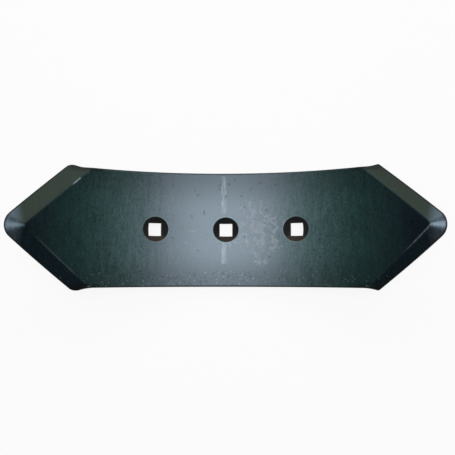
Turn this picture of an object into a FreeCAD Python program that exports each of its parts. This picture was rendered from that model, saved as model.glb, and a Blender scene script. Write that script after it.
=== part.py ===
import FreeCAD, Part

import math
import os

# Reversible plough share: one piece of rolled flat steel, forged to a bevelled point at both ends, punched
# for three square-necked plough bolts and bent to a radius. It lies on its convex back, hollow front up.
# X runs along it, Y across it and Z up, and the origin is the middle of the lowest line of its back.
#
# The forging is worked out on the flat blank, where "along" and "sideways" are measured from its middle
# and "height" from its back face, and is then bent: the layer at half the thickness keeps its length.

document = FreeCAD.newDocument("plough_share")


# ---------------------------------------------------------------- driving sizes, in mm and degrees
sizes = document.addObject("Spreadsheet::Sheet", "sizes")
driving_sizes = [
    ("bar_width", 120.0, "width of the rolled flat"),
    ("bar_thickness", 10.0, "thickness of the rolled flat"),
    ("front_rounding", 1.6, "radius round the front face, where the bevels leave its edge"),
    ("back_rounding", 0.8, "radius round the whole back face"),
    ("share_length", 452.5, "nose to nose, along the bend at half thickness"),
    ("bend_radius", 250.0, "radius of the hollow front face"),
    ("hole_pitch", 75.0, "bolt hole to bolt hole, along the bend at half thickness"),
    ("bolt_square", 13.5, "side of each square hole"),
    ("countersink_width", 25.8, "diameter of each countersink at the front face"),
    ("countersink_angle", 90.0, "included angle of each countersink"),
    ("cutting_edge", 2.0, "height of the blunt wall left round each point"),
    ("left_point_angle", 40.7, "between each left edge and the share's length"),
    ("left_nose_radius", 14.0, "left nose, in the flat"),
    ("left_bevel_width", 15.5, "left edge to left ridge, square to the edge"),
    ("left_ridge_radius", 1.2, "left ridge behind the nose, in the flat"),
    ("left_shoulder_radius", 8.0, "rounding of the left shoulders"),
    ("left_shoulder_spread", 2.6, "how far forging pushed the left shoulders out"),
    ("left_flare_radius", 26.0, "hollow curve from the side out to a left shoulder"),
    ("right_point_angle", 39.5, "between each right edge and the share's length"),
    ("right_nose_radius", 13.0, "right nose, in the flat"),
    ("right_bevel_width", 11.5, "right edge to right ridge, square to the edge"),
    ("right_ridge_radius", 3.5, "right ridge behind the nose, in the flat"),
    ("right_shoulder_radius", 2.0, "rounding of the right shoulders"),
    ("right_shoulder_spread", 2.1, "how far forging pushed the right shoulders out"),
    ("right_flare_radius", 27.0, "hollow curve from the side out to a right shoulder"),
    ("tool_margin", 1.0, "how far a punch or a trimming solid reaches past a face"),
]
for row, (alias, value, meaning) in enumerate(driving_sizes, start=1):
    sizes.set(f"A{row}", alias.replace("_", " "))
    sizes.set(f"B{row}", str(value))
    sizes.setAlias(f"B{row}", alias)
    sizes.set(f"C{row}", meaning)
document.recompute()

half_length = sizes.share_length / 2
half_width = sizes.bar_width / 2
middle_radius = sizes.bend_radius + sizes.bar_thickness / 2
back_radius = sizes.bend_radius + sizes.bar_thickness
bend_axis = FreeCAD.Vector(0, 0, back_radius)
across = FreeCAD.Vector(0, 1, 0)


# ---------------------------------------------------------------- outlines on the flat blank
class Line:
    """A straight stretch of an outline."""

    def __init__(self, start, end):
        self.start, self.end = start, end

    def at(self, share):
        return [first + (last - first) * share for first, last in zip(self.start, self.end)]

    def mirrored(self, along_sign, sideways_sign):
        """The stretch mirrored, and turned round so that the outline it is in stays in order."""
        signs = (along_sign, sideways_sign)
        start, end = ([sign * value for sign, value in zip(signs, spot)] for spot in (self.end, self.start))
        return Line(start, end)


class Arc:
    """A round stretch of an outline, between two angles in degrees from the along direction."""

    def __init__(self, centre, radius, start_angle, end_angle):
        self.centre, self.radius = centre, radius
        self.start_angle, self.end_angle = start_angle, end_angle

    def at(self, share):
        angle = math.radians(self.start_angle + (self.end_angle - self.start_angle) * share)
        return [
            self.centre[0] + self.radius * math.cos(angle),
            self.centre[1] + self.radius * math.sin(angle),
        ]

    def mirrored(self, along_sign, sideways_sign):
        centre = [along_sign * self.centre[0], sideways_sign * self.centre[1]]
        start, end = (
            sideways_sign * (angle if along_sign > 0 else 180 - angle)
            for angle in (self.end_angle, self.start_angle)
        )
        return Arc(centre, self.radius, start, end)


class Point:
    """One pointed end of the blank, left or right, worked out as if it pointed along +X."""

    def __init__(self, end):
        self.end = end
        self.angle = getattr(sizes, end + "_point_angle")
        self.nose_radius = getattr(sizes, end + "_nose_radius")
        self.bevel_width = getattr(sizes, end + "_bevel_width")
        self.ridge_radius = getattr(sizes, end + "_ridge_radius")
        self.shoulder_radius = getattr(sizes, end + "_shoulder_radius")
        self.shoulder_spread = getattr(sizes, end + "_shoulder_spread")
        self.flare_radius = getattr(sizes, end + "_flare_radius")
        self.edge_normal = 90 - self.angle
        self.edge_rise = math.sin(math.radians(self.angle))
        self.edge_run = math.cos(math.radians(self.angle))

    def edge_along(self, sideways, inset):
        """How far along the upper edge's line is at a place sideways, moved in square to itself."""
        reach = (self.nose_radius - inset - self.edge_run * sideways) / self.edge_rise
        return half_length - self.nose_radius + reach

    def edge_sideways(self, along, inset):
        """How far sideways the same line is at a place along."""
        reach = along - half_length + self.nose_radius
        return (self.nose_radius - inset - self.edge_rise * reach) / self.edge_run

    def nose(self, inset, radius):
        """The round nose between the upper and lower edges' lines, both moved in."""
        centre = [self.edge_along(0, inset + radius), 0]
        return Arc(centre, radius, self.edge_normal, -self.edge_normal)

    def blank_outline(self):
        """From the upper side out round the shoulder, to the nose, and back to the lower side."""
        shoulder_sideways = half_width + self.shoulder_spread - self.shoulder_radius
        shoulder_along = self.edge_along(shoulder_sideways, self.shoulder_radius)
        reach = self.flare_radius + self.shoulder_radius
        drop = reach - self.shoulder_spread
        flare_along = shoulder_along - math.sqrt(reach**2 - drop**2)
        turn = math.degrees(math.acos(drop / reach))

        flare = Arc([flare_along, half_width + self.flare_radius], self.flare_radius, -90, -90 + turn)
        shoulder_centre = [shoulder_along, shoulder_sideways]
        shoulder = Arc(shoulder_centre, self.shoulder_radius, 90 + turn, self.edge_normal)
        nose = self.nose(0, self.nose_radius)
        upper = [flare, shoulder, Line(shoulder.at(1), nose.at(0))]
        lower = [stretch.mirrored(1, -1) for stretch in reversed(upper)]
        return self.turned(upper + [nose] + lower)

    def bevel_outline(self, height):
        """The bevel's level line at a height, run on to the far end of the share and closed there."""
        climb = (height - sizes.cutting_edge) / (sizes.bar_thickness - sizes.cutting_edge)
        inset = self.bevel_width * climb
        nose = self.nose(inset, self.nose_radius + (self.ridge_radius - self.nose_radius) * climb)
        far_corner = [-half_length, self.edge_sideways(-half_length, inset)]
        flank = Line(far_corner, nose.at(0))
        lower_flank = flank.mirrored(1, -1)
        return self.turned([flank, nose, lower_flank, Line(lower_flank.end, far_corner)])

    def bevel_top(self):
        """A height above the front face where the ridge's nose still has half of its radius."""
        spare_climb = self.ridge_radius / (self.nose_radius - self.ridge_radius) / 2
        return sizes.bar_thickness + spare_climb * (sizes.bar_thickness - sizes.cutting_edge)

    def turned(self, outline):
        """The outline as it is for the right end, and mirrored for the left."""
        if self.end == "right":
            return outline
        return [stretch.mirrored(-1, 1) for stretch in reversed(outline)]


# ---------------------------------------------------------------- bending
def bent(spot, height):
    """Where a spot of the flat blank, at a height above its back, lies after bending."""
    along, sideways = spot
    turn = along / middle_radius
    radius = back_radius - height
    return FreeCAD.Vector(radius * math.sin(turn), sideways, back_radius - radius * math.cos(turn))


def bent_direction(stretch, share, height):
    """Which way a bent stretch runs at a share of its way."""
    step = 0.0001 if share < 1 else -0.0001
    return (bent(stretch.at(share + step), height) - bent(stretch.at(share), height)) / step


def bent_edge(stretch, height):
    """A stretch of outline after bending: a line straight across, an arc straight along, or a spline."""
    spans = 24
    points = [bent(stretch.at(count / spans), height) for count in range(spans + 1)]
    if isinstance(stretch, Line) and stretch.start[0] == stretch.end[0]:
        return Part.LineSegment(points[0], points[-1]).toShape()
    if isinstance(stretch, Line) and stretch.start[1] == stretch.end[1]:
        return Part.Arc(points[0], points[spans // 2], points[-1]).toShape()
    first, last = (bent_direction(stretch, share, height) for share in (0, 1))
    curve = Part.BSplineCurve()
    curve.interpolate(Points=points, InitialTangent=first, FinalTangent=last)
    return curve.toShape()


def bent_wall(lower_edge, upper_edge):
    """The wall between two matching edges: flat where they lie in one plane, and otherwise ruled."""
    lower_ends, upper_ends = ([vertex.Point for vertex in edge.Vertexes] for edge in (lower_edge, upper_edge))
    first_upright, last_upright = (Part.makeLine(low, high) for low, high in zip(lower_ends, upper_ends))
    outline = Part.Wire([lower_edge, last_upright, upper_edge, first_upright])
    if outline.findPlane():
        return Part.Face(outline)
    return Part.makeRuledSurface(lower_edge, upper_edge)


def bent_cover(edges, height):
    """The round face inside an outline that was bent at one height."""
    cylinder = Part.Cylinder()
    cylinder.Center = bend_axis
    cylinder.Axis = across
    cylinder.Radius = back_radius - height
    cover = Part.Face(cylinder, Part.Wire(edges))
    cover.validate()
    return cover


def bent_solid(name, lower_outline, lower_height, upper_outline, upper_height):
    """A solid between two outlines with matching stretches, each bent at its own height."""
    lower_edges = [bent_edge(stretch, lower_height) for stretch in lower_outline]
    upper_edges = [bent_edge(stretch, upper_height) for stretch in upper_outline]
    walls = [bent_wall(lower, upper) for lower, upper in zip(lower_edges, upper_edges)]
    covers = [bent_cover(lower_edges, lower_height), bent_cover(upper_edges, upper_height)]
    skin = Part.makeCompound(walls + covers)
    skin.sewShape()
    outward_faces = Part.makeSolid(skin.Shells[0]).Faces
    feature = document.addObject("Part::Feature", name)
    feature.Shape = Part.makeSolid(Part.Shell(outward_faces))
    return feature


# ---------------------------------------------------------------- the forged and bent bar
left, right = Point("left"), Point("right")
upper_side = Line(left.blank_outline()[-1].at(1), right.blank_outline()[0].at(0))
blank_outline = [upper_side] + right.blank_outline() + [upper_side.mirrored(1, -1)] + left.blank_outline()

blank = bent_solid("blank", blank_outline, 0, blank_outline, sizes.bar_thickness)


def edge_numbers_at(feature, height):
    """The numbers of a feature's edges that keep to one height above the back."""
    wanted_radius = back_radius - height
    numbers = []
    for number, edge in enumerate(feature.Shape.Edges, start=1):
        radii = [spot.distanceToLine(bend_axis, across) for spot in edge.discretize(5)]
        if max(abs(radius - wanted_radius) for radius in radii) < 0.01:
            numbers.append(number)
    return numbers


rounded_blank = document.addObject("Part::Fillet", "rounded_blank")
rounded_blank.Base = blank
rounded_blank.Edges = [
    (number, radius, radius)
    for height, radius in ((0, sizes.back_rounding), (sizes.bar_thickness, sizes.front_rounding))
    for number in edge_numbers_at(blank, height)
]

trimmed = [rounded_blank]
for point in (left, right):
    foot, top = -sizes.tool_margin, point.bevel_top()
    name = point.end + "_bevels"
    trimmed.append(bent_solid(name, point.bevel_outline(foot), foot, point.bevel_outline(top), top))
forging = document.addObject("Part::MultiCommon", "forging")
forging.Shapes = trimmed


# ---------------------------------------------------------------- the bolt holes
sink_slope = "tan(sizes.countersink_angle / 2)"
sink_depth = f"(sizes.countersink_width - sizes.bolt_square) / 2 / {sink_slope}"

punches = []
for place, name in enumerate(("left", "middle", "right"), start=-1):
    square = document.addObject("Part::Box", name + "_square")
    square.setExpression("Length", "sizes.bolt_square")
    square.setExpression("Width", "sizes.bolt_square")
    square.setExpression("Height", "sizes.bar_thickness + 2 * sizes.tool_margin")
    square.setExpression(".Placement.Base.x", "-sizes.bolt_square / 2")
    square.setExpression(".Placement.Base.y", "-sizes.bolt_square / 2")
    square.setExpression(".Placement.Base.z", "-sizes.tool_margin")

    countersink = document.addObject("Part::Cone", name + "_countersink")
    countersink.setExpression("Radius1", "sizes.bolt_square / 2")
    countersink.setExpression("Radius2", f"sizes.countersink_width / 2 + sizes.tool_margin * {sink_slope}")
    countersink.setExpression("Height", f"{sink_depth} + sizes.tool_margin")
    countersink.setExpression(".Placement.Base.z", f"sizes.bar_thickness - {sink_depth}")

    punch = document.addObject("Part::MultiFuse", name + "_punch")
    punch.Shapes = [square, countersink]
    turn = math.degrees(place * sizes.hole_pitch / middle_radius)
    punch.Placement = FreeCAD.Placement(FreeCAD.Vector(), FreeCAD.Rotation(across, -turn), bend_axis)
    punches.append(punch)

bolt_holes = document.addObject("Part::MultiFuse", "bolt_holes")
bolt_holes.Shapes = punches
share = document.addObject("Part::Cut", "share")
share.Base = forging
share.Tool = bolt_holes
share.Label = "plough_share"
document.recompute()


# ---------------------------------------------------------------- checks and files
for item in document.Objects:
    if "Invalid" in item.State or "Error" in item.State:
        raise RuntimeError(f"{item.Label} failed: {item.State}")
if share.Shape.isNull() or not share.Shape.isValid() or len(share.Shape.Solids) != 1:
    raise RuntimeError(f"{share.Label} is not one valid solid")

os.makedirs("parts", exist_ok=True)
share.Shape.Solids[0].exportStep(f"parts/{share.Label}.step")
print(share.Label, "volume", round(share.Shape.Volume), "cubic mm")
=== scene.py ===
import math

import bpy
import bmesh
import numpy as np
from mathutils import Matrix, Vector


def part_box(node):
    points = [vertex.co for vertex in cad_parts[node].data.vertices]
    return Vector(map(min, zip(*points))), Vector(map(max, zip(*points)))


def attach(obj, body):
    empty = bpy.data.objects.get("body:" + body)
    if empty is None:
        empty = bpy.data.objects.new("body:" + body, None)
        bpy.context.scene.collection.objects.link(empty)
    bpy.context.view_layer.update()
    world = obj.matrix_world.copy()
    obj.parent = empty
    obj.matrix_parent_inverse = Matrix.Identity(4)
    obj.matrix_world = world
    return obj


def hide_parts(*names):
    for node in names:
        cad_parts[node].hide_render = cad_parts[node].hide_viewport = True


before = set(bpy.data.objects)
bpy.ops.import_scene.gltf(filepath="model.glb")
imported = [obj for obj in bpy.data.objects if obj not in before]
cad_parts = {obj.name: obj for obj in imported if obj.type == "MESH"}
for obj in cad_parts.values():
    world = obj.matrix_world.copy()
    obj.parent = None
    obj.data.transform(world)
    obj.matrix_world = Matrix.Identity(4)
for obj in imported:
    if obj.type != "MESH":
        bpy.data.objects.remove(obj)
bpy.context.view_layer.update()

nodeLow, nodeHigh = (np.array(corner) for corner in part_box("plough_share"))
print("frame loaded, share box", nodeLow.round(4), nodeHigh.round(4))


# The share is laid out on the flat bar, in mm, and bent at the end: along runs from the left point to
# the right one, sideways across the bar, and height up from its back.
share = {
    "thickness": 10.0,
    "halfWidth": 60.0,
    "hollowRadius": 250.0,
    "edgeHeight": 2.0,          # blunt wall left round each point
    "sideRounding": 1.6,        # front edge along the two straight sides
    "pointRounding": 0.65,      # front edge round the shoulders and points
    "backRounding": 0.8,
    "ridgeSoftening": 1.3,      # how far from a ridge its corner is eased, each way
    "frontLand": 1.45,          # flat strip beside a ridge, before the open face starts
    "backLand": 1.0,
    "sideStrip": 4.0,           # strip along a straight side that runs on into the bevel
    "unevenness": 0.11,         # rolling and hammering left the hollow face this far from true
    "flareLead": 1.5,           # straight side kept before a shoulder's flare starts
    "bevelStop": 0.45,          # flat bevel kept before its outer edge starts to round
    "shoulderCrowding": 0.8,    # under 1, stations crowd towards the straight edge
    "roundingChange": 0.5,      # share of the shoulder over which the edge rounding changes
    "sharpAngle": 34,
    "mergeDistance": 0.002,
    "degenerateLength": 0.001,
}

points = {
    "left": {"sign": -1, "tip": 225.8, "apex": 209.5, "ridgeRadius": 2.0, "middle": -0.8},
    "right": {"sign": 1, "tip": 226.15, "apex": 214.0, "ridgeRadius": 3.5, "middle": -0.7},
}

# each shoulder was hammered on its own, so no two are alike
shoulders = {
    ("left", 1): {
        "edgeAngle": 42.1, "ridgeAngle": 41.3, "noseRadius": 15.6,
        "hump": 2.1, "humpRadius": 9.0, "flareRadius": 24.0,
    },
    ("left", -1): {
        "edgeAngle": 39.4, "ridgeAngle": 41.2, "noseRadius": 13.9,
        "hump": 2.59, "humpRadius": 10.0, "flareRadius": 38.0,
    },
    ("right", 1): {
        "edgeAngle": 40.3, "ridgeAngle": 40.5, "noseRadius": 14.5,
        "hump": 2.0, "humpRadius": 2.3, "flareRadius": 27.0,
    },
    ("right", -1): {
        "edgeAngle": 38.6, "ridgeAngle": 41.5, "noseRadius": 14.5,
        "hump": 2.2, "humpRadius": 2.3, "flareRadius": 27.0,
    },
}

holes = {
    "pitch": 75.0,
    "square": 13.5,
    "sinkWidth": 25.8,
    "block": 16.0,              # half of the square patch of plate that each hole is cut in
    "rimRounding": 0.45,
    "burrRounding": 0.5,        # back edge, rolled over by the punch
}

grid = {"nose": 16, "edge": 50, "shoulder": 30, "side": 26, "block": 20, "web": 22, "rows": 18}

faceFinish, backFinish, holeFinish = 0, 1, 2      # the mesh's material numbers

middleRadius = share["hollowRadius"] + share["thickness"] / 2
backRadius = share["hollowRadius"] + share["thickness"]
mm = 0.001


def arcPoints(centre, radius, firstDegrees, lastDegrees, count=60):
    # circle: centre + radius * (cos angle, sin angle), the angle stepping evenly
    angle = np.radians(np.linspace(firstDegrees, lastDegrees, count))
    return np.array(centre) + radius * np.column_stack((np.cos(angle), np.sin(angle)))


def pickAlong(curve, portions):
    # the curve's point at each portion of its length, straight between its own points
    steps = np.hypot(*np.diff(curve, axis=0).T)
    run = np.concatenate(([0], np.cumsum(steps))) / steps.sum()
    return np.column_stack((np.interp(portions, run, curve[:, 0]), np.interp(portions, run, curve[:, 1])))


def cornerCurves(endName, side):
    # Outline and ridge of one corner as if it pointed along +along and +sideways, each in three
    # stretches: shoulder, straight edge, nose. Straight edges touch the nose circles at their angle.
    end, corner = points[endName], shoulders[endName, side]
    noseCentre = np.array([end["tip"] - corner["noseRadius"], side * end["middle"]])
    ridgeCentre = np.array([end["apex"] - end["ridgeRadius"], side * end["middle"]])
    edgeAngle, ridgeAngle = (math.radians(corner[key]) for key in ("edgeAngle", "ridgeAngle"))
    edgeNormal = np.array([math.sin(edgeAngle), math.cos(edgeAngle)])
    edgeBack = np.array([-math.cos(edgeAngle), math.sin(edgeAngle)])
    ridgeNormal = np.array([math.sin(ridgeAngle), math.cos(ridgeAngle)])
    ridgeBack = np.array([-math.cos(ridgeAngle), math.sin(ridgeAngle)])

    edgeStart = noseCentre + corner["noseRadius"] * edgeNormal
    ridgeStart = ridgeCentre + end["ridgeRadius"] * ridgeNormal
    humpRadius, flareRadius = corner["humpRadius"], corner["flareRadius"]
    humpSideways = share["halfWidth"] + corner["hump"] - humpRadius
    humpLine = noseCentre + (corner["noseRadius"] - humpRadius) * edgeNormal
    humpCentre = humpLine + edgeBack * (humpSideways - humpLine[1]) / edgeBack[1]
    reach = humpRadius + flareRadius
    flareCentre = np.array([
        humpCentre[0] - math.sqrt(reach**2 - (reach - corner["hump"])**2),
        share["halfWidth"] + flareRadius,
    ])
    turn = math.degrees(math.acos((reach - corner["hump"]) / reach))
    edgeEnd = humpCentre + humpRadius * edgeNormal

    sideLine = share["halfWidth"] - share["sideStrip"]
    ridgeEnd = ridgeStart + ridgeBack * (sideLine - ridgeStart[1]) / ridgeBack[1]
    ridgeKnee = ridgeStart + ridgeBack * ((edgeEnd - ridgeStart) @ ridgeBack)
    straightEnd = min(ridgeEnd[0], flareCentre[0]) - share["flareLead"]
    outline = [
        np.vstack((
            [[straightEnd, share["halfWidth"]]],
            arcPoints(flareCentre, flareRadius, -90, -90 + turn),
            arcPoints(humpCentre, humpRadius, 90 + turn, 90 - corner["edgeAngle"]),
        )),
        np.vstack((edgeEnd, edgeStart)),
        arcPoints(noseCentre, corner["noseRadius"], 90 - corner["edgeAngle"], 0),
    ]
    ridge = [
        np.vstack(([straightEnd, sideLine], ridgeEnd, ridgeKnee)),
        np.vstack((ridgeKnee, ridgeStart)),
        arcPoints(ridgeCentre, end["ridgeRadius"], 90 - corner["ridgeAngle"], 0),
    ]
    # how far inside the edge line, and outside the ridge line, each outline point lies
    spot = outline[0]
    insideEdge = corner["noseRadius"] - (spot - noseCentre) @ edgeNormal
    outsideRidge = (spot - ridgeCentre) @ ridgeNormal - end["ridgeRadius"]
    climb = insideEdge / np.maximum(insideEdge + np.maximum(outsideRidge, 0), 1e-6)
    topHeight = share["edgeHeight"] + (share["thickness"] - share["edgeHeight"]) * np.clip(climb, 0, 1)
    return outline, ridge, topHeight


def cornerStations(endName, side):
    # Matching outline and ridge stations of one corner, from its straight side to the tip
    outline, ridge, topHeight = cornerCurves(endName, side)
    shoulderShare = np.linspace(0, 1, grid["shoulder"], endpoint=False)
    shoulderShare = shoulderShare**share["shoulderCrowding"]
    edgeShare = np.linspace(0, 1, grid["edge"], endpoint=False)
    noseShare = np.linspace(0, 1, grid["nose"])
    shares = (shoulderShare, edgeShare, noseShare)
    outer = np.vstack([pickAlong(curve, part) for curve, part in zip(outline, shares)])
    inner = np.vstack([pickAlong(curve, part) for curve, part in zip(ridge, shares)])
    steps = np.hypot(*np.diff(outline[0], axis=0).T)
    run = np.concatenate(([0], np.cumsum(steps))) / steps.sum()
    heights = np.full(len(outer), share["edgeHeight"])
    heights[:len(shoulderShare)] = np.interp(shoulderShare, run, topHeight)
    rounding = np.full(len(outer), share["pointRounding"])
    ease = np.clip(shoulderShare / share["roundingChange"], 0, 1)
    change = share["pointRounding"] - share["sideRounding"]
    rounding[:len(shoulderShare)] = share["sideRounding"] + change * ease
    mirror = np.array([points[endName]["sign"], side])
    return outer * mirror, inner * mirror, heights, rounding


def sideStations(side):
    # One whole side of the share from the left tip to the right tip
    leftOuter, leftInner, leftHeights, leftRounding = (part[::-1] for part in cornerStations("left", side))
    rightOuter, rightInner, rightHeights, rightRounding = cornerStations("right", side)
    block, pitch = holes["block"], holes["pitch"]
    stops = [
        leftOuter[-1, 0], -pitch - block, -pitch + block, -block, block, pitch - block, pitch + block,
        rightOuter[0, 0],
    ]
    counts = [grid[name] for name in ("side", "block", "web", "block", "web", "block", "side")]
    along = np.concatenate([
        np.linspace(first, last, count, endpoint=False)
        for first, last, count in zip(stops[:-1], stops[1:], counts)
    ])[1:]
    outer = np.column_stack((along, np.full(len(along), side * share["halfWidth"])))
    inner = np.column_stack((along, np.full(len(along), side * (share["halfWidth"] - share["sideStrip"]))))
    flatHeights = np.full(len(along), share["thickness"])
    sideRounding = np.full(len(along), share["sideRounding"])
    return (
        np.vstack((leftOuter, outer, rightOuter)),
        np.vstack((leftInner, inner, rightInner)),
        np.concatenate((leftHeights, flatHeights, rightHeights)),
        np.concatenate((leftRounding, sideRounding, rightRounding)),
    )


def inwardNormals(curve, side):
    # square to the curve's own direction, turned to the inside of the share
    step = np.gradient(curve, axis=0)
    step[0], step[-1] = [0, side], [0, -side]
    step = step / np.hypot(*step.T)[:, None]
    return side * np.column_stack((step[:, 1], -step[:, 0]))


def sideBand(side):
    # Profile carried round one side: land, eased ridge, bevel, rounded edge, wall, rounded back, land.
    # Rounding between the wall and a face that climbs inwards: centre at inset r and height
    # top + slope * r - r * sqrt(1 + slope^2), from straight out to square to the face.
    outer, inner, top, rounding = sideStations(side)
    inward = inwardNormals(outer, side)
    ridgeIn = inwardNormals(inner, side)
    rung = inner - outer
    length = np.hypot(*rung.T)
    rung = rung / length[:, None]
    thickness, ease = share["thickness"], share["ridgeSoftening"]
    slope = (thickness - top) / length

    spots, heights = [], []
    for offset in (share["frontLand"], ease, 0.4 * ease):
        spots.append(inner + ridgeIn * offset)
        heights.append(thickness - slope * max(ease - offset, 0)**2 / (4 * ease))
    for offset in (0, 0.4 * ease, ease):
        spots.append(inner - rung * offset)
        heights.append(thickness - slope * offset - slope * (ease - offset)**2 / (4 * ease))
    faceStart = rounding + share["bevelStop"]
    for part in (0.2, 0.4, 0.6, 0.8, 1.0):
        first = inner - rung * ease
        last = outer + inward * faceStart[:, None]
        spots.append(first + (last - first) * part)
        heights.append(top + slope * np.einsum("ij,ij->i", spots[-1] - outer, rung))
    slopeIn = slope * np.einsum("ij,ij->i", inward, rung)
    centreHeight = top + slopeIn * rounding - rounding * np.sqrt(1 + slopeIn**2)
    for part in np.linspace(0, 1, 6):
        angle = (np.pi / 2 + np.arctan(slopeIn)) * (1 - part) + np.pi * part
        spots.append(outer + inward * (rounding * (1 + np.cos(angle)))[:, None])
        heights.append(centreHeight + rounding * np.sin(angle))
    backRounding = share["backRounding"]
    spots.append(outer)
    heights.append((centreHeight + backRounding) / 2)
    for part in np.linspace(0, 1, 5):
        angle = np.pi * (1 + part / 2)
        spots.append(outer + inward * backRounding * (1 + np.cos(angle)))
        heights.append(np.full(len(top), backRounding * (1 + np.sin(angle))))
    spots.append(outer + inward * (backRounding + share["backLand"]))
    heights.append(np.zeros(len(top)))
    return np.array(spots), np.array(heights)


def rowShares(reach):
    # shares across the open face, with rows exactly on the edges of the hole patches
    block = holes["block"]
    outerRows = np.linspace(-reach, -block, grid["rows"], endpoint=False)
    blockRows = np.linspace(-block, block, grid["block"], endpoint=False)
    rows = np.concatenate((outerRows, blockRows, [block], -outerRows[::-1]))
    return (rows / reach + 1) / 2


def openFace(lower, upper, height):
    # straight rows between the two sides' lands, all at one height, with the hole patches left out
    middle = len(lower) // 2
    shares = rowShares(upper[middle, 1])
    spots = lower[None] + (upper - lower)[None] * shares[:, None, None]
    heights = np.full(spots.shape[:2], height)
    first = grid["rows"]
    last = first + grid["block"]
    keep = np.ones((len(shares) - 1, len(lower) - 1), bool)
    for place in (-1, 0, 1):
        along = spots[first, :, 0]
        inBlock = np.abs((along[1:] + along[:-1]) / 2 - place * holes["pitch"]) < holes["block"]
        keep[first:last, inBlock] = False
    return spots, heights, keep


def holeRings(place):
    # Rings round one hole, from the front patch's edge down the cone and the square to the back one.
    # Local frame: x along the tangent, height above the back's tangent plane. The cone is
    # height = sink bottom + (distance from the axis - half the square).
    count = grid["block"]
    edge = np.linspace(-1, 1, count, endpoint=False)
    flatSide = np.full(count, 1.0)
    ring = np.vstack((
        np.column_stack((flatSide, edge)), np.column_stack((-edge, flatSide)),
        np.column_stack((-flatSide, -edge)), np.column_stack((edge, -flatSide)),
    ))
    distance = np.hypot(*ring.T)
    direction = ring / distance[:, None]
    half, block = holes["square"] / 2, holes["block"]
    thickness, hollow = share["thickness"], share["hollowRadius"]
    sinkBottom = thickness - (holes["sinkWidth"] / 2 - half)

    def frontHeight(x):
        # circle of the hollow radius about the bend axis
        return backRadius - np.sqrt(hollow**2 - x**2)

    def backHeight(x):
        # the same circle, a thickness further out
        return backRadius - np.sqrt(backRadius**2 - x**2)

    rim = np.full(len(ring), holes["sinkWidth"] / 2)
    for _ in range(3):
        rim = half + frontHeight(direction[:, 0] * rim) - sinkBottom
    patchEdge = ring * block
    patchEdge = np.column_stack((hollow * np.sin(patchEdge[:, 0] / middleRadius), patchEdge[:, 1]))
    rings = []
    ease = holes["rimRounding"]
    rimStart = direction * (rim + ease)[:, None]
    for part in (0, 0.2, 0.4, 0.6, 0.78, 0.92, 1):
        spot = patchEdge + (rimStart - patchEdge) * part
        rings.append((spot, frontHeight(spot[:, 0])))
    # eased rim: a parabola between the face and the cone
    for offset in (0.5 * ease, 0, -0.5 * ease, -ease):
        spot = direction * (rim + offset)[:, None]
        face = frontHeight(spot[:, 0])
        cone = sinkBottom + rim + offset - half
        rings.append((spot, np.minimum(face, cone) - (ease - abs(offset))**2 / (4 * ease)))
    mouth = ring * half
    mouthDistance = distance * half
    for part in (0.15, 0.35, 0.55, 0.75, 0.92, 1):
        reach = (rim - ease) + (mouthDistance - rim + ease) * part
        rings.append((direction * reach[:, None], sinkBottom + reach - half))
    top = sinkBottom + mouthDistance - half
    roll = holes["burrRounding"]
    bottom = backHeight(mouth[:, 0])
    for part in (0.06, 0.35, 0.65, 1):
        rings.append((mouth, top + (bottom + roll - top) * part))
    for part in (0.33, 0.67, 1):
        angle = np.pi / 2 * part
        spot = ring * (half + roll * (1 - math.cos(angle)))
        rings.append((spot, backHeight(spot[:, 0]) + roll * (1 - math.sin(angle))))
    backEdge = ring * block
    backEdge = np.column_stack((backRadius * np.sin(backEdge[:, 0] / middleRadius), backEdge[:, 1]))
    last = ring * (half + roll)
    for part in (0.06, 0.25, 0.5, 0.75, 1):
        spot = last + (backEdge - last) * part
        rings.append((spot, backHeight(spot[:, 0])))
    spots = np.array([spot for spot, _ in rings])
    local = np.array([height for _, height in rings])
    # back to the flat bar: the turn gives the place along, the radius the height
    along = place * holes["pitch"] + middleRadius * np.arctan2(spots[..., 0], backRadius - local)
    height = backRadius - np.hypot(spots[..., 0], backRadius - local)
    return np.stack((along, spots[..., 1]), axis=-1), height


def gridQuads(rows, columns, start, wrap=False, keep=None):
    # quads of a rows x columns grid of vertices numbered from start
    number = start + np.arange(rows * columns).reshape(rows, columns)
    if wrap:
        number = np.hstack((number, number[:, :1]))
    quads = np.stack((number[:-1, :-1], number[:-1, 1:], number[1:, 1:], number[1:, :-1]), axis=-1)
    return quads[keep] if keep is not None else quads.reshape(-1, 4)


def unevenness(along, sideways):
    # a few long waves of different length and slant, added up
    waves = (
        np.sin(along / 23 + sideways / 61) + np.sin(along / 41 - sideways / 33 + 1.3)
        + 0.6 * np.sin(along / 13.5 + sideways / 19 + 2.1) + 0.5 * np.sin(sideways / 11 - along / 70 + 0.4)
    )
    return share["unevenness"] * waves / 3.1


def bend(along, sideways, height):
    # turn = along / middle radius; each height keeps its own radius about the bend axis
    turn = along / middleRadius
    radius = backRadius - height
    lift = nodeLow[2] / mm + backRadius
    return np.column_stack((radius * np.sin(turn), sideways, lift - radius * np.cos(turn))) * mm


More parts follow.
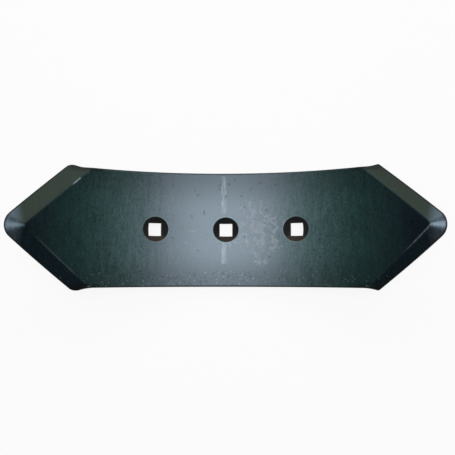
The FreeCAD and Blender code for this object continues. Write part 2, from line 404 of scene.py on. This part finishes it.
def ridgeAndEdge(along, sideways):
    # Distances on the flat bar: how far outside the nearest ridge line, and how far inside the
    # outline, from each corner's two straight lines and the two nose circles that they touch
    outsideRidge = np.full(len(along), -1e3)
    insideEdge = share["halfWidth"] - np.abs(sideways)
    for (endName, side), corner in shoulders.items():
        end = points[endName]
        here = (end["sign"] * along > 0) & (side * (sideways - end["middle"]) >= 0)
        reach, spread = end["sign"] * along, side * (sideways - end["middle"])
        for tip, radius, angle, kind in (
            (end["tip"], corner["noseRadius"], corner["edgeAngle"], "edge"),
            (end["apex"], end["ridgeRadius"], corner["ridgeAngle"], "ridge"),
        ):
            angle = math.radians(angle)
            fromCentre = reach - tip + radius
            straight = fromCentre * math.sin(angle) + spread * math.cos(angle)
            onNose = fromCentre * math.cos(angle) > spread * math.sin(angle)
            outside = np.where(onNose, np.hypot(fromCentre, spread), straight) - radius
            if kind == "ridge":
                outsideRidge = np.where(here, outside, outsideRidge)
            else:
                insideEdge = np.where(here, np.minimum(insideEdge, -outside), insideEdge)
    return outsideRidge, insideEdge


def buildShare():
    # Two side bands, two open faces and three holes, laid out flat, bent, and merged where they meet
    spots, heights, quads, regions = [], [], [], []
    start = 0

    def addGrid(spot, height, region, wrap=False, keep=None):
        # vertices, quads and finish numbers of one grid, numbered on from the last one
        nonlocal start
        rows, columns = height.shape
        made = gridQuads(rows, columns, start, wrap, keep)
        spots.append(spot.reshape(-1, 2))
        heights.append(height.ravel())
        quads.append(made)
        # each quad's finish follows its row: quads run along rows
        rowOfQuad = (made[:, 0] - start) // columns
        regions.append(np.asarray(region)[rowOfQuad])
        start += rows * columns

    # a band's first 16 rows are face, bevel and rounded edge, and the rest are wall and back
    bandRegion = np.array([faceFinish] * 16 + [backFinish] * 7)
    upperSpots, upperHeights = sideBand(1)
    lowerSpots, lowerHeights = sideBand(-1)
    addGrid(upperSpots, upperHeights, bandRegion)
    addGrid(lowerSpots, lowerHeights, bandRegion)
    for row, height, region in ((0, share["thickness"], faceFinish), (-1, 0.0, backFinish)):
        spot, level, keep = openFace(lowerSpots[row], upperSpots[row], height)
        addGrid(spot, level, np.full(len(level), region), keep=keep)
    for place in (-1, 0, 1):
        spot, height = holeRings(place)
        # 8 rings on the face, 14 down the cone, the square and its burr, and 7 on the back
        ringRegion = np.array([faceFinish] * 8 + [holeFinish] * 14 + [backFinish] * 7)
        addGrid(spot, height, ringRegion, wrap=True)

    spots, heights = np.vstack(spots), np.concatenate(heights)
    quads, regions = np.vstack(quads), np.concatenate(regions)
    along, sideways = spots.T
    bodyHeight = heights + unevenness(along, sideways) * np.clip(heights / share["thickness"], 0, 1)**2
    outsideRidge, insideEdge = ridgeAndEdge(along, sideways)
    fromHoles = [np.hypot(along - place * holes["pitch"], sideways) for place in (-1, 0, 1)]
    holeDistance = np.min(fromHoles, axis=0)

    mesh = bpy.data.meshes.new("ploughShare")
    mesh.from_pydata(bend(along, sideways, bodyHeight), [], quads)
    mesh.polygons.foreach_set("material_index", regions.astype(np.int32))
    fields = {"barPlace": (along, sideways, heights), "barEdges": (outsideRidge, insideEdge, holeDistance)}
    for name, columns in fields.items():
        layer = mesh.attributes.new(name, "FLOAT_VECTOR", "POINT")
        layer.data.foreach_set("vector", (np.column_stack(columns) * mm).astype(np.float32).ravel())
    work = bmesh.new()
    work.from_mesh(mesh)
    bmesh.ops.remove_doubles(work, verts=work.verts, dist=share["mergeDistance"] * mm)
    bmesh.ops.dissolve_degenerate(work, edges=work.edges, dist=share["degenerateLength"] * mm)
    bmesh.ops.recalc_face_normals(work, faces=work.faces)
    openEdges = sum(len(edge.link_faces) != 2 for edge in work.edges)
    volume = work.calc_volume() / mm**3
    work.to_mesh(mesh)
    work.free()
    mesh.polygons.foreach_set("use_smooth", np.ones(len(mesh.polygons), bool))
    mesh.set_sharp_from_angle(angle=math.radians(share["sharpAngle"]))
    triangles = sum(len(face.vertices) - 2 for face in mesh.polygons)
    print("share mesh:", triangles, "triangles,", openEdges, "open edges,", round(volume), "cubic mm")
    piece = bpy.data.objects.new("ploughShare", mesh)
    bpy.context.collection.objects.link(piece)
    return piece


shareBody = buildShare()
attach(shareBody, "root")
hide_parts("plough_share")


# Node helpers: each adds one node and gives back its output
def putIn(tree, socket, value):
    # a socket takes a number or colour as it is, or a link from another node's output
    if isinstance(value, bpy.types.NodeSocket):
        tree.links.new(value, socket)
    else:
        socket.default_value = value


def addMath(tree, operation, first, second=0.0, third=0.0, clamp=False):
    # one sum on up to three values; MULTIPLY_ADD is first * second + third
    node = tree.nodes.new("ShaderNodeMath")
    node.operation, node.use_clamp = operation, clamp
    for socket, value in zip(node.inputs, (first, second, third)):
        putIn(tree, socket, value)
    return node.outputs[0]


def addRange(tree, value, fromLow, fromHigh, toLow=0.0, toHigh=1.0):
    # smooth step from one end of the range to the other
    node = tree.nodes.new("ShaderNodeMapRange")
    node.interpolation_type = "SMOOTHSTEP"
    for socket, entry in zip(node.inputs, (value, fromLow, fromHigh, toLow, toHigh)):
        putIn(tree, socket, entry)
    return node.outputs[0]


def addMix(tree, amount, first, second, blend="MIX"):
    # first where the amount is 0, second where it is 1
    node = tree.nodes.new("ShaderNodeMix")
    node.data_type, node.blend_type = "RGBA", blend
    putIn(tree, node.inputs[0], amount)
    putIn(tree, node.inputs[6], first)
    putIn(tree, node.inputs[7], second)
    return node.outputs[2]


def addRamp(tree, value, stops):
    # colour by value, straight between the stops
    node = tree.nodes.new("ShaderNodeValToRGB")
    putIn(tree, node.inputs[0], value)
    elements = node.color_ramp.elements
    while len(elements) < len(stops):
        elements.new(1.0)
    for element, (place, colour) in zip(elements, stops):
        element.position, element.color = place, (*colour, 1)
    return node.outputs[0]


def addNoise(tree, vector, stretch, detail, roughness, seed=0.0):
    # fractal noise on stretched coordinates; stretch is repeats in a metre along each axis
    mapping = tree.nodes.new("ShaderNodeMapping")
    putIn(tree, mapping.inputs["Vector"], vector)
    mapping.inputs["Scale"].default_value = stretch
    mapping.inputs["Location"].default_value = (seed, seed * 0.7, seed * 0.4)
    node = tree.nodes.new("ShaderNodeTexNoise")
    putIn(tree, node.inputs["Vector"], mapping.outputs[0])
    node.inputs["Scale"].default_value = 1.0
    node.inputs["Detail"].default_value = detail
    node.inputs["Roughness"].default_value = roughness
    return node.outputs[0]


def addPlace(tree, name="barPlace"):
    # a point's place on the flat bar, or its distances from ridge, edge and hole, in metres
    field = tree.nodes.new("ShaderNodeAttribute")
    field.attribute_name = name
    parts = tree.nodes.new("ShaderNodeSeparateXYZ")
    tree.links.new(field.outputs["Vector"], parts.inputs[0])
    return field.outputs["Vector"], *parts.outputs


def newGroup(name, inputs, outputs):
    # a node group whose inputs and outputs are all single values
    group = bpy.data.node_groups.new(name, "ShaderNodeTree")
    for label, value in inputs.items():
        group.interface.new_socket(label, in_out="INPUT", socket_type="NodeSocketFloat").default_value = value
    for label in outputs:
        group.interface.new_socket(label, in_out="OUTPUT", socket_type="NodeSocketFloat")
    entry, leave = group.nodes.new("NodeGroupInput"), group.nodes.new("NodeGroupOutput")
    return group, entry, leave


def useGroup(tree, group, **values):
    # one use of a group, with the inputs that are named set or linked
    node = tree.nodes.new("ShaderNodeGroup")
    node.node_tree = group
    for label, value in values.items():
        putIn(tree, node.inputs[label], value)
    return node.outputs


# Effects that the finishes share. Each reads the place on the flat bar, and stretches are repeats in a metre
rolling = {
    "broadStretch": (210, 38, 60),
    "fineStretch": (760, 120, 200),
    "speckleStretch": (640, 520, 560),
}


def makeRollingGrain():
    # Streaks across the bar: thin noise of two widths, and a fine even speckle under them
    group, entry, leave = newGroup("rollingGrain", {"streaks": 1.0, "speckle": 1.0}, ["tone", "relief"])
    vector = addPlace(group)[0]
    broad = addNoise(group, vector, rolling["broadStretch"], 3, 0.62, seed=3.1)
    fine = addNoise(group, vector, rolling["fineStretch"], 2, 0.65, seed=7.7)
    speckle = addNoise(group, vector, rolling["speckleStretch"], 3, 0.7, seed=1.9)
    halfBroad, halfFine = (addMath(group, "MULTIPLY", noise, 0.5) for noise in (broad, fine))
    streaks = addMath(group, "SUBTRACT", addMath(group, "ADD", halfBroad, halfFine), 0.5)
    streaks = addMath(group, "MULTIPLY", streaks, entry.outputs["streaks"])
    speckles = addMath(group, "MULTIPLY", addMath(group, "SUBTRACT", speckle, 0.5), entry.outputs["speckle"])
    both = addMath(group, "ADD", streaks, speckles)
    group.links.new(both, leave.inputs["tone"])
    group.links.new(addMath(group, "MULTIPLY_ADD", both, 0.5, 0.5), leave.inputs["relief"])
    return group


island = {
    "detail": 5, "roughness": 0.62, "distortion": 0.9,
    "coverSink": 0.16,          # how far full cover brings the cut-off level down
    "coverGain": 4.0,           # islands are at full strength from a quarter of full cover
}


def makeScaleIslands():
    # Islands where scale came away: distorted noise cut off at a level, which sinks where cover rises
    inputs = {"size": 90.0, "level": 0.55, "softness": 0.05, "cover": 1.0}
    group, entry, leave = newGroup("scaleIslands", inputs, ["mask"])
    node = group.nodes.new("ShaderNodeTexNoise")
    group.links.new(addPlace(group)[0], node.inputs["Vector"])
    group.links.new(entry.outputs["size"], node.inputs["Scale"])
    node.inputs["Detail"].default_value = island["detail"]
    node.inputs["Roughness"].default_value = island["roughness"]
    node.inputs["Distortion"].default_value = island["distortion"]
    cover = entry.outputs["cover"]
    bareLevel = addMath(group, "ADD", entry.outputs["level"], island["coverSink"])
    level = addMath(group, "MULTIPLY_ADD", cover, -island["coverSink"], bareLevel)
    mask = addRange(group, node.outputs[0], level, addMath(group, "ADD", level, entry.outputs["softness"]))
    strength = addMath(group, "MULTIPLY", cover, island["coverGain"], clamp=True)
    group.links.new(addMath(group, "MULTIPLY", mask, strength), leave.inputs["mask"])
    return group


pit = {"rim": 0.5, "bottom": 0.15}      # distances from a cell's centre, as shares of a cell


def makeRustPits():
    # Small round pits: the cells of a Voronoi pattern whose random colour is under the density
    group, entry, leave = newGroup("rustPits", {"size": 700.0, "density": 0.2}, ["mask"])
    cells = group.nodes.new("ShaderNodeTexVoronoi")
    group.links.new(addPlace(group)[0], cells.inputs["Vector"])
    group.links.new(entry.outputs["size"], cells.inputs["Scale"])
    chance = group.nodes.new("ShaderNodeSeparateColor")
    group.links.new(cells.outputs["Color"], chance.inputs[0])
    hollow = addRange(group, cells.outputs["Distance"], pit["rim"], pit["bottom"])
    chosen = addMath(group, "LESS_THAN", chance.outputs[0], entry.outputs["density"])
    group.links.new(addMath(group, "MULTIPLY", hollow, chosen), leave.inputs["mask"])
    return group


# gaps that break up the painted highlight lines on the ridges
edgeLineGaps = {"stretch": (330, 330, 330), "fullTo": 0.25, "gapFrom": 0.36, "gapTo": 0.56}


def makeEdgeLine():
    # A line along an edge: full where the distance is nought, fading to nothing at the width,
    # and broken up by noise
    inputs = {"distance": 0.0, "width": 0.001, "breakUp": 0.3}
    group, entry, leave = newGroup("edgeLine", inputs, ["mask"])
    distance = addMath(group, "ABSOLUTE", entry.outputs["distance"])
    line = addRange(group, addMath(group, "DIVIDE", distance, entry.outputs["width"]), 1.0, edgeLineGaps["fullTo"])
    rough = addNoise(group, addPlace(group)[0], edgeLineGaps["stretch"], 3, 0.6, seed=5.3)
    gaps = addRange(group, rough, edgeLineGaps["gapFrom"], edgeLineGaps["gapTo"])
    keep = addMath(group, "SUBTRACT", 1.0, entry.outputs["breakUp"])
    kept = addMath(group, "MULTIPLY_ADD", gaps, entry.outputs["breakUp"], keep)
    group.links.new(addMath(group, "MULTIPLY", line, kept), leave.inputs["mask"])
    return group


rollingGrain = makeRollingGrain()
scaleIslands = makeScaleIslands()
rustPits = makeRustPits()
edgeLine = makeEdgeLine()
print("shared effects ready")


def addWindow(tree, value, low, high, blur):
    # 1 between low and high, fading to 0 over the blur outside them
    rise = addRange(tree, value, low - blur, low)
    fall = addRange(tree, value, high + blur, high)
    return addMath(tree, "MULTIPLY", rise, fall)


def addSpot(tree, along, sideways, centre, reach):
    # 1 in the middle of an oval, fading smoothly to 0 at its edge
    squares = []
    for value, middle, half in zip((along, sideways), centre, reach):
        part = addMath(tree, "DIVIDE", addMath(tree, "SUBTRACT", value, middle), half)
        squares.append(addMath(tree, "MULTIPLY", part, part))
    return addRange(tree, addMath(tree, "SQRT", addMath(tree, "ADD", *squares)), 1.0, 0.35)


def addMost(tree, *masks):
    # the highest of the masks at each point
    most = masks[0]
    for mask in masks[1:]:
        most = addMath(tree, "MAXIMUM", most, mask)
    return most


def addGrainTone(tree, colour, grain, strength):
    # colour * (1 + strength * grain tone), the tone being above and below nought
    tone = addMath(tree, "MULTIPLY_ADD", grain["tone"], strength, 1.0)
    return addMix(tree, 1.0, colour, tone, "MULTIPLY")


# The three finishes are made in the order of the mesh's material numbers
def newFinish(name, metallic):
    # a material in the mesh's next slot, whose other shader inputs finishSurface fills
    material = bpy.data.materials.new(name)
    material.use_nodes = True
    tree = material.node_tree
    shader = tree.nodes["Principled BSDF"]
    shader.inputs["Metallic"].default_value = metallic
    shareBody.data.materials.append(material)
    return tree, shader


def finishSurface(tree, shader, colour, roughness, relief, depth):
    # depth is the height, in metres, that a full step of the relief stands for
    putIn(tree, shader.inputs["Base Color"], colour)
    putIn(tree, shader.inputs["Roughness"], roughness)
    bump = tree.nodes.new("ShaderNodeBump")
    bump.inputs["Distance"].default_value = depth
    tree.links.new(relief, bump.inputs["Height"])
    tree.links.new(bump.outputs[0], shader.inputs["Normal"])


# Places and widths are metres on the flat bar. A window is low, high and the blur outside them
faceSteel = {
    "metallic": 0.85, "faceRoughness": 0.40, "bevelRoughness": 0.33, "reliefDepth": 0.00004,
    "bevelColour": (0.018, 0.026, 0.020, 1),
    # painted shade: the lower bevels get a darker, bluer copy of the bevel colour, as the light falls from
    # above
    "shadedLowBevelColour": (0.008, 0.020, 0.027, 1),
    # painted highlight: a lighter, bluish colour on each nose bevel
    "noseHighlightColour": (0.060, 0.085, 0.105, 1),
    # bare steel for the islands, the stroke and the flecks, and also the painted highlight on the ridges
    "bareAndHighlightColour": (0.200, 0.235, 0.270, 1),
    # painted highlight: the rounded rim just outside each countersink, lit from above
    "rimHighlightColour": (0.110, 0.165, 0.165, 1),
    # painted shade: the rounded outer edge turned away from the light
    "edgeShadeColour": (0.010, 0.011, 0.012, 1),
    "pitColour": (0.022, 0.030, 0.034, 1),
    # both ends darken by the ramp below: partly heat tint from forging, partly painted shade where the bent
    # ends face away from the lamps; the shift makes the left end lighter than the right
    "heatAndShadeShift": 0.006, "heatAndShadeReach": 0.215,
    "heatAndShadeRamp": [
        (0.0, (0.092, 0.118, 0.139)), (0.25, (0.092, 0.118, 0.139)), (0.47, (0.058, 0.104, 0.108)),
        (0.68, (0.024, 0.064, 0.063)), (0.95, (0.008, 0.018, 0.026)),
    ],
    # painted shade: the face darker towards both sides
    "paintedSideShade": (0.018, 0.058, 1.0, 0.66),     # from, to, and the colour kept at each
    "bevelStart": (-0.0006, 0.0014),
    "noseHighlightStart": (0.208, 0.220),
}

faceMarks = {
    "patch": {"centre": (0.033, -0.002), "reach": (0.040, 0.042)},
    "patchIslands": {"size": 125.0, "level": 0.47, "softness": 0.04},
    "scatter": {"centre": (-0.030, -0.014), "reach": (0.034, 0.034)},
    "scatterIslands": {"size": 150.0, "level": 0.60, "softness": 0.05},
    "islandStrength": 0.85,
    "stroke": (-0.0032, 0.0012, 0.0007), "strokeRagged": 0.0022, "strokeStrength": 0.38,
    "upperStroke": (0.019, 0.055, 0.003), "lowerStroke": (-0.035, -0.0145, 0.002),
    "lowBand": (-0.0575, -0.046, 0.005),
    "bandPits": {"size": 640.0, "density": 0.32}, "bandPitStrength": 0.75,
    "bandFlecks": {"size": 410.0, "density": 0.14}, "bandFleckStrength": 0.4,
    "strayPits": {"size": 300.0, "density": 0.05}, "strayPitStrength": 0.55,
    "pitDepth": 1.4,
    # painted highlight: a lit ring just outside each countersink rim
    "sinkRimHighlight": (0.0133, 0.0138, 0.0004), "sinkRimHighlightStrength": 0.55,
    # painted highlight lines on the ridges
    "crestWidth": 0.0011, "crestBreakUp": 0.5,
    "rightCrest": (0.184, 0.205), "rightCrestStrength": 0.7,
    "leftCrest": (-0.190, -0.165, 0.012), "leftCrestStrength": 0.22,
    "crestStreak": (-0.1615, -0.1555, 0.0015),
    # painted shade along the rounded outline, wider at the shoulders
    "edgeShade": (0.0012, 0.0004), "edgeShadeStrength": 0.85,
    "shoulder": (0.140, 0.158, 0.010), "shoulderShadeEdge": (0.0048, 0.0028), "shoulderShadeStrength": 0.7,
}


def addPaleIslands(tree, along, sideways):
    # big islands right of the middle and a scatter of small ones left of it
    masks = []
    for spotName, islandName in (("patch", "patchIslands"), ("scatter", "scatterIslands")):
        cover = addSpot(tree, along, sideways, **faceMarks[spotName])
        masks.append(useGroup(tree, scaleIslands, cover=cover, **faceMarks[islandName])["mask"])
    return addMath(tree, "MULTIPLY", addMost(tree, *masks), faceMarks["islandStrength"])


def addChalkStroke(tree, place, along, sideways):
    # a ragged stroke across the bar on each side of the middle hole, broken up by noise
    ragged = addNoise(tree, place, (420, 150, 0), 3, 0.6)
    ragged = addMath(tree, "MULTIPLY_ADD", ragged, faceMarks["strokeRagged"], along)
    stroke = addWindow(tree, ragged, *faceMarks["stroke"])
    upper, lower = (addWindow(tree, sideways, *faceMarks[name]) for name in ("upperStroke", "lowerStroke"))
    broken = addRange(tree, addNoise(tree, place, (520, 120, 0), 3, 0.7, seed=2.2), 0.34, 0.62)
    stroke = addMath(tree, "MULTIPLY", stroke, addMost(tree, upper, lower))
    stroke = addMath(tree, "MULTIPLY", stroke, broken)
    return addMath(tree, "MULTIPLY", stroke, faceMarks["strokeStrength"])


def addPits(tree, name, strength, band=None):
    # pits of one size and density, everywhere or in a band only
    mask = useGroup(tree, rustPits, **faceMarks[name])["mask"]
    cover = faceMarks[strength] if band is None else addMath(tree, "MULTIPLY", band, faceMarks[strength])
    return addMath(tree, "MULTIPLY", mask, cover)


def addRidgeHighlights(tree, along, sideways, ridge):
    # painted highlight: bright lines on the ridges where the eased ridge catches the light, part of each
    # lower one, and a short streak on the left upper one
    marks = faceMarks
    crest = useGroup(tree, edgeLine, distance=ridge, width=marks["crestWidth"], breakUp=marks["crestBreakUp"])
    lowerSide = addRange(tree, sideways, 0.0, -0.003)
    right = addMath(tree, "MULTIPLY", addRange(tree, along, *marks["rightCrest"]), lowerSide)
    left = addMath(tree, "MULTIPLY", addWindow(tree, along, *marks["leftCrest"]), lowerSide)
    streak = addWindow(tree, along, *marks["crestStreak"])
    streak = addMath(tree, "MULTIPLY", streak, addRange(tree, sideways, 0, 0.003))
    right = addMath(tree, "MULTIPLY", right, marks["rightCrestStrength"])
    left = addMath(tree, "MULTIPLY", left, marks["leftCrestStrength"])
    return addMath(tree, "MULTIPLY", addMost(tree, right, left, streak), crest["mask"])


def addEdgeShade(tree, reachAlong, edge):
    # painted shade: a thin dark line along the outline where the rounded edge turns from the light, wider at
    # the shoulders
    marks = faceMarks
    shoulder = addWindow(tree, reachAlong, *marks["shoulder"])
    shoulder = addMath(tree, "MULTIPLY", shoulder, marks["shoulderShadeStrength"])
    wide = addMath(tree, "MULTIPLY", addRange(tree, edge, *marks["shoulderShadeEdge"]), shoulder)
    paintedShade = addMost(tree, addRange(tree, edge, *marks["edgeShade"]), wide)
    return addMath(tree, "MULTIPLY", paintedShade, marks["edgeShadeStrength"])


def makeForgedFace():
    # Both ends dark: a ramp by the distance from the middle, partly heat tint from forging and partly painted
    # shade where the bent ends face away from the lamps, darker towards the sides as painted shade, with the
    # bevels' own colours over it. Grain multiplies it, and each mark is mixed in by mask.
    look = faceSteel
    tree, shader = newFinish("forgedFace", look["metallic"])
    place, along, sideways, _ = addPlace(tree)
    _, ridge, edge, hole = addPlace(tree, "barEdges")
    reachAlong, reachAcross = (addMath(tree, "ABSOLUTE", value) for value in (along, sideways))

    # ends darker: partly heat tint, partly painted shade
    heat = addMath(tree, "ABSOLUTE", addMath(tree, "ADD", along, look["heatAndShadeShift"]))
    colour = addRamp(tree, addMath(tree, "MULTIPLY", heat, 1 / look["heatAndShadeReach"]), look["heatAndShadeRamp"])
    # painted shade towards both sides
    colour = addMix(tree, 1.0, colour, addRange(tree, reachAcross, *look["paintedSideShade"]), "MULTIPLY")
    onBevel = addRange(tree, ridge, *look["bevelStart"])
    # painted shade: the lower bevels darker and bluer than the upper ones
    lower = addRange(tree, sideways, 0.004, -0.004)
    bevel = addMix(tree, lower, look["bevelColour"], look["shadedLowBevelColour"])
    colour = addMix(tree, onBevel, colour, bevel)
    # painted highlight on each nose bevel
    nose = addMath(tree, "MULTIPLY", onBevel, addRange(tree, reachAlong, *look["noseHighlightStart"]))
    colour = addMix(tree, nose, colour, look["noseHighlightColour"])
    grain = useGroup(tree, rollingGrain, streaks=1.15, speckle=1.1)
    colour = addGrainTone(tree, colour, grain, 1.0)

    pale = addPaleIslands(tree, along, sideways)
    colour = addMix(tree, pale, colour, look["bareAndHighlightColour"])
    colour = addMix(tree, addChalkStroke(tree, place, along, sideways), colour, look["bareAndHighlightColour"])
    lowBand = addWindow(tree, sideways, *faceMarks["lowBand"])
    flecks = addPits(tree, "bandFlecks", "bandFleckStrength", lowBand)
    colour = addMix(tree, flecks, colour, look["bareAndHighlightColour"])
    bandPits = addPits(tree, "bandPits", "bandPitStrength", lowBand)
    pits = addMost(tree, bandPits, addPits(tree, "strayPits", "strayPitStrength"))
    colour = addMix(tree, pits, colour, look["pitColour"])
    # painted highlight on the lit rim just outside each countersink
    ring = addWindow(tree, hole, *faceMarks["sinkRimHighlight"])
    ring = addMath(tree, "MULTIPLY", ring, faceMarks["sinkRimHighlightStrength"])
    colour = addMix(tree, ring, colour, look["rimHighlightColour"])
    # painted highlight along the ridges
    colour = addMix(tree, addRidgeHighlights(tree, along, sideways, ridge), colour, look["bareAndHighlightColour"])
    # painted shade along the rounded outline
    colour = addMix(tree, addEdgeShade(tree, reachAlong, edge), colour, look["edgeShadeColour"])

    change = look["bevelRoughness"] - look["faceRoughness"]
    roughness = addMath(tree, "MULTIPLY_ADD", onBevel, change, look["faceRoughness"])
    roughness = addMath(tree, "MULTIPLY_ADD", grain["tone"], 0.25, roughness)
    roughness = addMath(tree, "MULTIPLY_ADD", pale, 0.15, roughness)
    hollows = addMath(tree, "MULTIPLY", pits, faceMarks["pitDepth"])
    relief = addMath(tree, "SUBTRACT", grain["relief"], hollows)
    finishSurface(tree, shader, colour, roughness, relief, look["reliefDepth"])


backSteel = {
    "metallic": 0.75, "roughness": 0.5, "reliefDepth": 0.00005,
    "scaleColour": (0.042, 0.050, 0.054, 1),
    "pointColour": (0.020, 0.026, 0.030, 1),
    "rustColour": (0.060, 0.040, 0.024, 1),
    "ends": (0.09, 0.20),
    "rust": {"size": 55.0, "level": 0.56, "softness": 0.16, "cover": 1.0}, "rustStrength": 0.35,
    "pits": {"size": 420.0, "density": 0.12}, "pitStrength": 0.5,
}


def makeBarBack():
    # Mill scale, darker at the ends, times the grain, with soft rust islands and small pits mixed in
    look = backSteel
    tree, shader = newFinish("barBack", look["metallic"])
    along = addPlace(tree)[1]
    ends = addRange(tree, addMath(tree, "ABSOLUTE", along), *look["ends"])
    colour = addMix(tree, ends, look["scaleColour"], look["pointColour"])
    grain = useGroup(tree, rollingGrain, streaks=0.7, speckle=1.2)
    colour = addGrainTone(tree, colour, grain, 1.0)
    rust = useGroup(tree, scaleIslands, **look["rust"])["mask"]
    colour = addMix(tree, addMath(tree, "MULTIPLY", rust, look["rustStrength"]), colour, look["rustColour"])
    pits = useGroup(tree, rustPits, **look["pits"])["mask"]
    colour = addMix(tree, addMath(tree, "MULTIPLY", pits, look["pitStrength"]), colour, look["pointColour"])
    roughness = addMath(tree, "MULTIPLY_ADD", grain["tone"], 0.3, look["roughness"])
    roughness = addMath(tree, "MULTIPLY_ADD", rust, 0.12, roughness)
    relief = addMath(tree, "SUBTRACT", grain["relief"], pits)
    finishSurface(tree, shader, colour, roughness, relief, look["reliefDepth"])


holeSteel = {
    "metallic": 0.5, "roughness": 0.55, "reliefDepth": 0.00005,
    "cutColour": (0.012, 0.013, 0.014, 1),
    # painted light: the lower wall of each countersink, which faces up to the lamps, lighter and brownish
    "rustColour": (0.075, 0.055, 0.035, 1),
    "lowWallLightStart": (-0.0055, -0.0085), "rustStrength": 0.45,
}


def makePunchedHole():
    # Dark cut steel times the grain, with a lighter brownish colour in the lower part of each countersink:
    # painted light, as that wall faces up to the lamps
    look = holeSteel
    tree, shader = newFinish("punchedHole", look["metallic"])
    sideways = addPlace(tree)[2]
    grain = useGroup(tree, rollingGrain, streaks=0.5, speckle=1.2)
    colour = addGrainTone(tree, look["cutColour"], grain, 1.1)
    # painted light on the lower part of each countersink
    low = addMath(tree, "MULTIPLY", addRange(tree, sideways, *look["lowWallLightStart"]), look["rustStrength"])
    colour = addMix(tree, low, colour, look["rustColour"])
    roughness = addMath(tree, "MULTIPLY_ADD", grain["tone"], 0.3, look["roughness"])
    finishSurface(tree, shader, colour, roughness, grain["relief"], look["reliefDepth"])


makeForgedFace()
makeBarBack()
makePunchedHole()
print("finishes ready")


studio = {
    "cameraPlace": (0.01234, -0.04249, 0.61358),
    "cameraYaw": -0.0175,
    "cameraPitch": -0.0742,
    "lens": 45.39,
    "sensorWidth": 36,
    "clipStart": 0.01,
    "floorHalf": 3.0,
    "floorGap": 0.0002,         # between the floor and the lowest line of the back
    "floorRoughness": 0.9,
    "floorColour": (0.85, 0.85, 0.85, 1),
    "whiteShare": 0.88,         # of the floor as it is seen; the rest keeps the object's shadow
    "worldLevel": 0.26,
}

lamps = {
    "overhead": {"place": (0.0, 0.06, 1.25), "size": (0.75, 0.60), "power": 8.0},
    "backTop": {"place": (0.0, 1.05, 0.85), "size": (1.5, 0.7), "power": 7.0},
}


def buildCamera():
    # placed, then turned by the inverse of pitch after yaw, both small turns from looking straight down
    camera = bpy.data.objects.new("camera", bpy.data.cameras.new("camera"))
    bpy.context.collection.objects.link(camera)
    camera.data.lens, camera.data.sensor_width = studio["lens"], studio["sensorWidth"]
    camera.data.clip_start = studio["clipStart"]
    yaw = Matrix.Rotation(studio["cameraYaw"], 4, "Y")
    pitch = Matrix.Rotation(studio["cameraPitch"], 4, "X")
    camera.matrix_world = Matrix.Translation(studio["cameraPlace"]) @ (pitch @ yaw).inverted()
    bpy.context.scene.camera = camera


def buildLamps():
    # soft rectangles, each turned to face the middle of the share's back
    for name, lamp in lamps.items():
        data = bpy.data.lights.new(name, "AREA")
        data.shape, (data.size, data.size_y), data.energy = "RECTANGLE", lamp["size"], lamp["power"]
        shine = bpy.data.objects.new(name, data)
        shine.location = lamp["place"]
        shine.rotation_euler = (-Vector(lamp["place"])).to_track_quat("-Z", "Y").to_euler()
        bpy.context.collection.objects.link(shine)


def seenDirectly(tree):
    # gives two values: 1 for camera and transmission rays, and 1 for glossy rays
    path = tree.nodes.new("ShaderNodeLightPath")
    seen = addMath(tree, "MAXIMUM", path.outputs["Is Camera Ray"], path.outputs["Is Transmission Ray"])
    return seen, path.outputs["Is Glossy Ray"]


def buildFloor():
    # a pale square whose shading mixes lit paint with plain white by the kind of ray that sees it
    mesh = bpy.data.meshes.new("floor")
    half, level = studio["floorHalf"], nodeLow[2] - studio["floorGap"]
    corners = [(-half, -half, level), (half, -half, level), (half, half, level), (-half, half, level)]
    mesh.from_pydata(corners, [], [(0, 1, 2, 3)])
    floor = bpy.data.objects.new("floor", mesh)
    bpy.context.collection.objects.link(floor)
    material = bpy.data.materials.new("paleFloor")
    material.use_nodes = True
    tree = material.node_tree
    paint = tree.nodes["Principled BSDF"]
    paint.inputs["Base Color"].default_value = studio["floorColour"]
    paint.inputs["Roughness"].default_value = studio["floorRoughness"]
    paint.inputs["Specular IOR Level"].default_value = 0.0
    white = tree.nodes.new("ShaderNodeEmission")
    mix = tree.nodes.new("ShaderNodeMixShader")
    seen, glossy = seenDirectly(tree)
    shown = addMath(tree, "MAXIMUM", seen, glossy)
    putIn(tree, mix.inputs[0], addMath(tree, "MULTIPLY", shown, studio["whiteShare"]))
    tree.links.new(paint.outputs[0], mix.inputs[1])
    tree.links.new(white.outputs[0], mix.inputs[2])
    tree.links.new(mix.outputs[0], tree.nodes["Material Output"].inputs[0])
    mesh.materials.append(material)


def buildWorld():
    # soft light for the share, and plain white where the backdrop is seen
    world = bpy.data.worlds.new("studio")
    bpy.context.scene.world = world
    world.use_nodes = True
    tree = world.node_tree
    soft = tree.nodes["Background"]
    soft.inputs[0].default_value = (1, 1, 1, 1)
    soft.inputs[1].default_value = studio["worldLevel"]
    white = tree.nodes.new("ShaderNodeBackground")
    white.inputs[0].default_value = (1, 1, 1, 1)
    mix = tree.nodes.new("ShaderNodeMixShader")
    seen, _ = seenDirectly(tree)
    tree.links.new(seen, mix.inputs[0])
    tree.links.new(soft.outputs[0], mix.inputs[1])
    tree.links.new(white.outputs[0], mix.inputs[2])
    tree.links.new(mix.outputs[0], tree.nodes["World Output"].inputs[0])


buildCamera()
buildLamps()
buildFloor()
buildWorld()
bpy.context.scene.view_settings.view_transform = "Standard"
print("studio ready")
